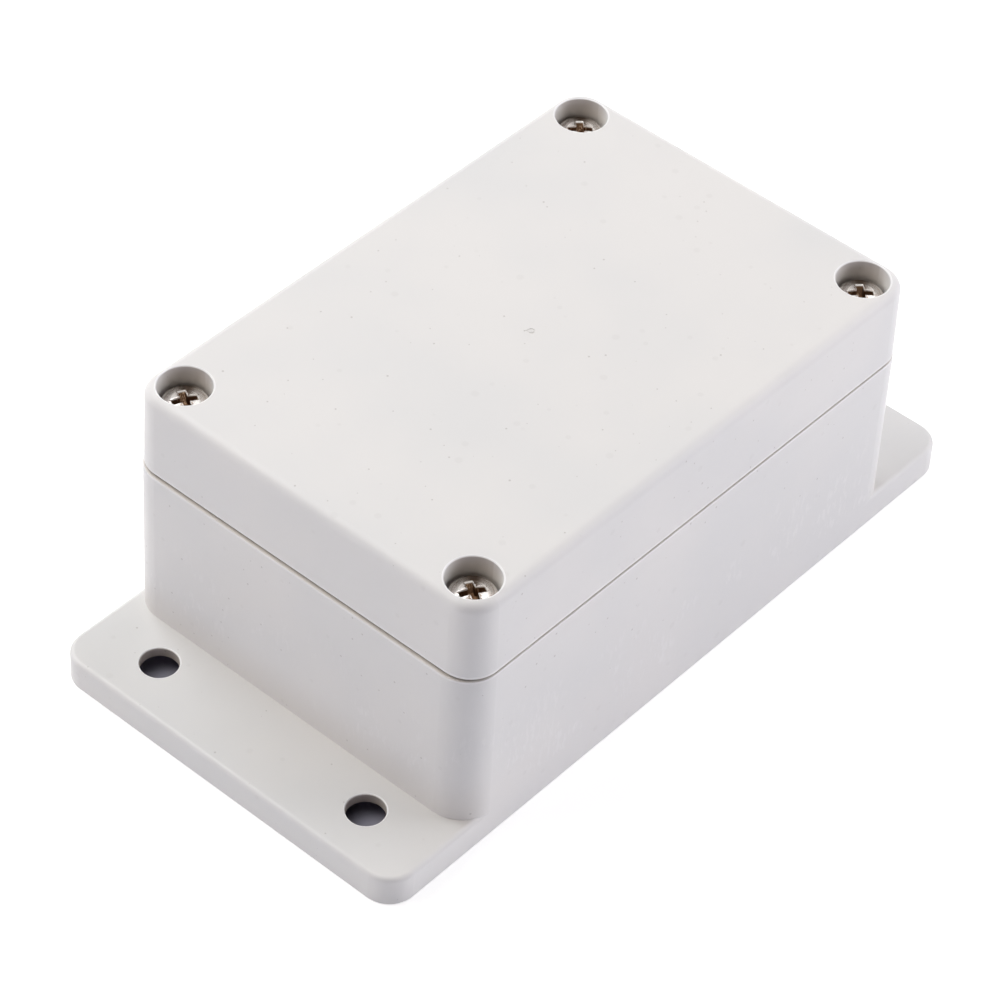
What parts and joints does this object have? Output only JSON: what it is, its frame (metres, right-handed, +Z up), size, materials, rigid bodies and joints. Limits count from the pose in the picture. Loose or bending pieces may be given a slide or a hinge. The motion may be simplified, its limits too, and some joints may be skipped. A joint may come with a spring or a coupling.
{
  "type": "plastic project box",
  "caption": "Sealed rectangular plastic electronics enclosure with a screwed lid sunk at its corners, a gasket and a mounting flange at each end.",
  "frame": {"origin": "middle of the underside", "axes": "+X along the box towards a mounting flange, +Y across it towards the back, +Z up through the lid"},
  "size_m": [0.1316, 0.0684, 0.0487],
  "materials": {
    "moulding": "satin moulded plastic, pale warm grey",
    "seal": "matt black silicone",
    "insert": "turned and knurled",
    "screw": "nickel plated"
  },
  "bodies": {
    "base": {"base": "moulding", "insert_front_left": "insert", "insert_front_right": "insert", "insert_back_left": "insert", "insert_back_right": "insert"},
    "lid": {"lid": "moulding", "gasket": "seal"},
    "screw_front_left": {"screw_front_left": "screw"},
    "screw_front_right": {"screw_front_right": "screw"},
    "screw_back_left": {"screw_back_left": "screw"},
    "screw_back_right": {"screw_back_right": "screw"}
  },
  "joints": [
    {"name": "lid_lift", "type": "slide", "parent": "base", "child": "lid", "axis": [0, 0, 1], "range_m": [0, 0.045]},
    {"name": "screw_front_left_out", "type": "slide", "parent": "lid", "child": "screw_front_left", "axis": [0, 0, 1], "range_m": [0, 0.024]},
    {"name": "screw_front_right_out", "type": "slide", "parent": "lid", "child": "screw_front_right", "axis": [0, 0, 1], "range_m": [0, 0.024]},
    {"name": "screw_back_left_out", "type": "slide", "parent": "lid", "child": "screw_back_left", "axis": [0, 0, 1], "range_m": [0, 0.024]},
    {"name": "screw_back_right_out", "type": "slide", "parent": "lid", "child": "screw_back_right", "axis": [0, 0, 1], "range_m": [0, 0.024]}
  ]
}
